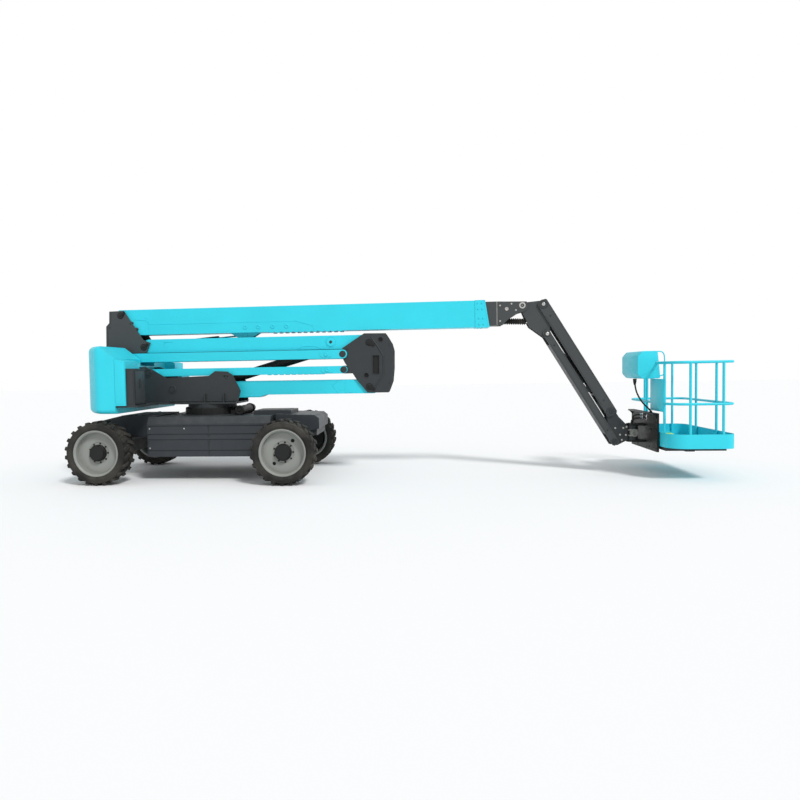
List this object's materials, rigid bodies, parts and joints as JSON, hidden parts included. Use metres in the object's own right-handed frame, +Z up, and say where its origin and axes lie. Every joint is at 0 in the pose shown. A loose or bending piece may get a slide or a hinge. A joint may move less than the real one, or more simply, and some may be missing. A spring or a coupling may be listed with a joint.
{
  "type": "articulating boom lift",
  "caption": "Wheeled articulating boom lift, stowed: slewing turntable, double riser, telescopic boom, jib and railed work platform.",
  "frame": {"origin": "on the ground, midway between the counterweight's rear and the platform's front, on the machine's middle plane", "axes": "+X from the counterweight to the platform, +Y to the far side, +Z up"},
  "size_m": [8.865, 2.43, 2.483],
  "materials": {
    "chassis_paint": "satin",
    "dark_paint": "satin",
    "rim_paint": "satin",
    "rod_chrome": "polished",
    "teal_paint": "gloss",
    "tyre_rubber": "matte"
  },
  "bodies": {
    "chassis": {"chassis_frame": "dark_paint", "chassis_covers": "chassis_paint", "end_hoods": "chassis_paint", "slew_ring": "dark_paint", "steer_axle": "dark_paint", "drive_axle": "dark_paint"},
    "knuckle_near": {"knuckle_near": "dark_paint"},
    "knuckle_far": {"knuckle_far": "dark_paint"},
    "steer_rod": {"steer_rod": "rod_chrome"},
    "turntable": {"turntable": "dark_paint", "counterweight": "teal_paint", "side_cover": "teal_paint", "control_cabinet": "dark_paint", "far_hood": "teal_paint"},
    "lower_beam": {"lower_beam": "teal_paint"},
    "lower_link": {"lower_link": "teal_paint"},
    "mid_knuckle": {"mid_knuckle": "dark_paint"},
    "upper_link": {"upper_link": "teal_paint"},
    "upper_beam": {"upper_beam": "teal_paint"},
    "upper_knuckle": {"upper_knuckle": "dark_paint"},
    "riser_cylinder": {"riser_cylinder": "dark_paint"},
    "riser_rod": {"riser_rod": "rod_chrome"},
    "main_boom": {"main_boom": "teal_paint"},
    "lift_cylinder": {"lift_cylinder": "dark_paint"},
    "lift_rod": {"lift_rod": "rod_chrome"},
    "fly_boom": {"fly_boom": "dark_paint"},
    "level_cylinder": {"level_cylinder": "dark_paint"},
    "level_rod": {"level_rod": "rod_chrome"},
    "jib_bracket": {"jib_bracket": "dark_paint"},
    "jib_upper_arm": {"jib_upper_arm": "dark_paint"},
    "jib_lower_arm": {"jib_lower_arm": "dark_paint"},
    "jib_cylinder": {"jib_cylinder": "dark_paint"},
    "jib_rod": {"jib_rod": "rod_chrome"},
    "jib_end": {"jib_end": "dark_paint"},
    "platform": {"platform_support": "dark_paint", "floor_beams": "dark_paint", "platform_floor": "teal_paint", "platform_rails": "teal_paint", "platform_corners": "teal_paint", "console": "teal_paint", "console_cable": "tyre_rubber"},
    "wheel_rear_near": {"tyre_rear_near": "tyre_rubber", "rim_rear_near": "rim_paint"},
    "wheel_rear_far": {"tyre_rear_far": "tyre_rubber", "rim_rear_far": "rim_paint"},
    "wheel_front_near": {"tyre_front_near": "tyre_rubber", "rim_front_near": "rim_paint"},
    "wheel_front_far": {"tyre_front_far": "tyre_rubber", "rim_front_far": "rim_paint"}
  },
  "joints": [
    {"name": "slew", "type": "hinge", "parent": "chassis", "child": "turntable", "pos_m": [-2.7025, 0, 1], "axis": [0, 0, 1], "continuous": true},
    {"name": "riser", "type": "hinge", "parent": "turntable", "child": "lower_beam", "pos_m": [-3.2175, 0, 1.278], "axis": [0, -1, 0], "range_deg": [0, 60]},
    {"name": "riser_link", "type": "hinge", "parent": "turntable", "child": "lower_link", "pos_m": [-3.5835, 0, 1.53], "axis": [0, -1, 0], "range_deg": [0, 60]},
    {"name": "mid_level", "type": "hinge", "parent": "lower_beam", "child": "mid_knuckle", "pos_m": [-0.3125, 0, 1.278], "axis": [0, -1, 0], "range_deg": [-60, 0]},
    {"name": "upper_riser", "type": "hinge", "parent": "mid_knuckle", "child": "upper_beam", "pos_m": [-0.3115, 0, 1.915], "axis": [0, 1, 0], "range_deg": [0, 60]},
    {"name": "upper_riser_link", "type": "hinge", "parent": "mid_knuckle", "child": "upper_link", "pos_m": [-0.6915, 0, 1.755], "axis": [0, 1, 0], "range_deg": [0, 60]},
    {"name": "top_level", "type": "hinge", "parent": "upper_beam", "child": "upper_knuckle", "pos_m": [-3.6825, 0, 1.915], "axis": [0, 1, 0], "range_deg": [-60, 0]},
    {"name": "riser_cylinder_swing", "type": "hinge", "parent": "lower_beam", "child": "riser_cylinder", "pos_m": [-2.7025, 0, 1.33], "axis": [0, -1, 0], "range_deg": [-7.68, 0]},
    {"name": "riser_rod_slide", "type": "slide", "parent": "riser_cylinder", "child": "riser_rod", "axis": [0.9608, 0, 0.2771], "range_m": [0, 0.88892]},
    {"name": "luff", "type": "hinge", "parent": "upper_knuckle", "child": "main_boom", "pos_m": [-4.0295, 0, 2.394], "axis": [0, -1, 0], "range_deg": [0, 75]},
    {"name": "lift_cylinder_swing", "type": "hinge", "parent": "upper_knuckle", "child": "lift_cylinder", "pos_m": [-3.6825, 0, 1.915], "axis": [0, -1, 0], "range_deg": [0, 72.89]},
    {"name": "lift_rod_slide", "type": "slide", "parent": "lift_cylinder", "child": "lift_rod", "axis": [0.9962, 0, 0.0871], "range_m": [0, 0.71692]},
    {"name": "telescope", "type": "slide", "parent": "main_boom", "child": "fly_boom", "axis": [1, 0, 0], "range_m": [0, 3.8]},
    {"name": "head_level", "type": "hinge", "parent": "fly_boom", "child": "jib_bracket", "pos_m": [1.8675, 0, 2.394], "axis": [0, -1, 0], "range_deg": [-75, 0]},
    {"name": "level_cylinder_swing", "type": "hinge", "parent": "fly_boom", "child": "level_cylinder", "pos_m": [0.9495, 0, 2.207], "axis": [0, -1, 0], "range_deg": [0, 1.48]},
    {"name": "level_rod_slide", "type": "slide", "parent": "level_cylinder", "child": "level_rod", "axis": [0.9994, 0, -0.0359], "range_m": [-0.32248, 0]},
    {"name": "jib", "type": "hinge", "parent": "jib_bracket", "child": "jib_upper_arm", "pos_m": [2.1625, 0, 2.405], "axis": [0, -1, 0], "range_deg": [0, 128]},
    {"name": "jib_lower", "type": "hinge", "parent": "jib_bracket", "child": "jib_lower_arm", "pos_m": [2.2125, 0, 1.985], "axis": [0, -1, 0], "range_deg": [0, 128]},
    {"name": "jib_cylinder_swing", "type": "hinge", "parent": "jib_bracket", "child": "jib_cylinder", "pos_m": [2.2125, 0, 1.985], "axis": [0, -1, 0], "range_deg": [0, 126.47]},
    {"name": "jib_rod_slide", "type": "slide", "parent": "jib_cylinder", "child": "jib_rod", "axis": [0.5918, 0, -0.8061], "range_m": [0, 0.75952]},
    {"name": "jib_end_level", "type": "hinge", "parent": "jib_upper_arm", "child": "jib_end", "pos_m": [3.08369, 0, 0.8749], "axis": [0, -1, 0], "range_deg": [-128, 0]},
    {"name": "platform_turn", "type": "hinge", "parent": "jib_end", "child": "platform", "pos_m": [3.3975, 0, 0.57], "axis": [0, 0, 1], "range_deg": [-80, 80]},
    {"name": "steer", "type": "hinge", "parent": "chassis", "child": "knuckle_near", "pos_m": [-3.9925, -0.78, 0.44], "axis": [0, 0, 1], "range_deg": [-35, 35]},
    {"name": "steer_far", "type": "hinge", "parent": "chassis", "child": "knuckle_far", "pos_m": [-3.9925, 0.78, 0.44], "axis": [0, 0, 1], "range_deg": [-35, 35]},
    {"name": "steer_rod_slide", "type": "slide", "parent": "chassis", "child": "steer_rod", "axis": [0, 1, 0], "range_m": [-0.115, 0.115]},
    {"name": "roll_rear_near", "type": "hinge", "parent": "knuckle_near", "child": "wheel_rear_near", "pos_m": [-3.9925, -1.04, 0.44], "axis": [0, 1, 0], "continuous": true},
    {"name": "roll_rear_far", "type": "hinge", "parent": "knuckle_far", "child": "wheel_rear_far", "pos_m": [-3.9925, 1.04, 0.44], "axis": [0, 1, 0], "continuous": true},
    {"name": "roll_front_near", "type": "hinge", "parent": "chassis", "child": "wheel_front_near", "pos_m": [-1.4125, -1.04, 0.44], "axis": [0, 1, 0], "continuous": true},
    {"name": "roll_front_far", "type": "hinge", "parent": "chassis", "child": "wheel_front_far", "pos_m": [-1.4125, 1.04, 0.44], "axis": [0, 1, 0], "continuous": true}
  ],
  "couplings": [
    {"joint": "riser_link", "follows": "riser", "ratio": 1},
    {"joint": "mid_level", "follows": "riser", "ratio": -1},
    {"joint": "upper_riser", "follows": "riser", "ratio": 1},
    {"joint": "upper_riser_link", "follows": "riser", "ratio": 1},
    {"joint": "top_level", "follows": "riser", "ratio": -1},
    {"joint": "riser_cylinder_swing", "follows": "riser", "ratio": -0.12807},
    {"joint": "riser_rod_slide", "follows": "riser", "m_per_rad": 0.84884},
    {"joint": "lift_cylinder_swing", "follows": "luff", "ratio": 0.9719},
    {"joint": "lift_rod_slide", "follows": "luff", "m_per_rad": 0.54768},
    {"joint": "head_level", "follows": "luff", "ratio": -1},
    {"joint": "level_cylinder_swing", "follows": "luff", "ratio": 0.019701},
    {"joint": "level_rod_slide", "follows": "luff", "m_per_rad": -0.24636},
    {"joint": "jib_lower", "follows": "jib", "ratio": 1},
    {"joint": "jib_cylinder_swing", "follows": "jib", "ratio": 0.98806},
    {"joint": "jib_rod_slide", "follows": "jib", "m_per_rad": 0.33998},
    {"joint": "jib_end_level", "follows": "jib", "ratio": -1},
    {"joint": "steer_far", "follows": "steer", "ratio": 1},
    {"joint": "steer_rod_slide", "follows": "steer", "m_per_rad": -0.187}
  ]
}
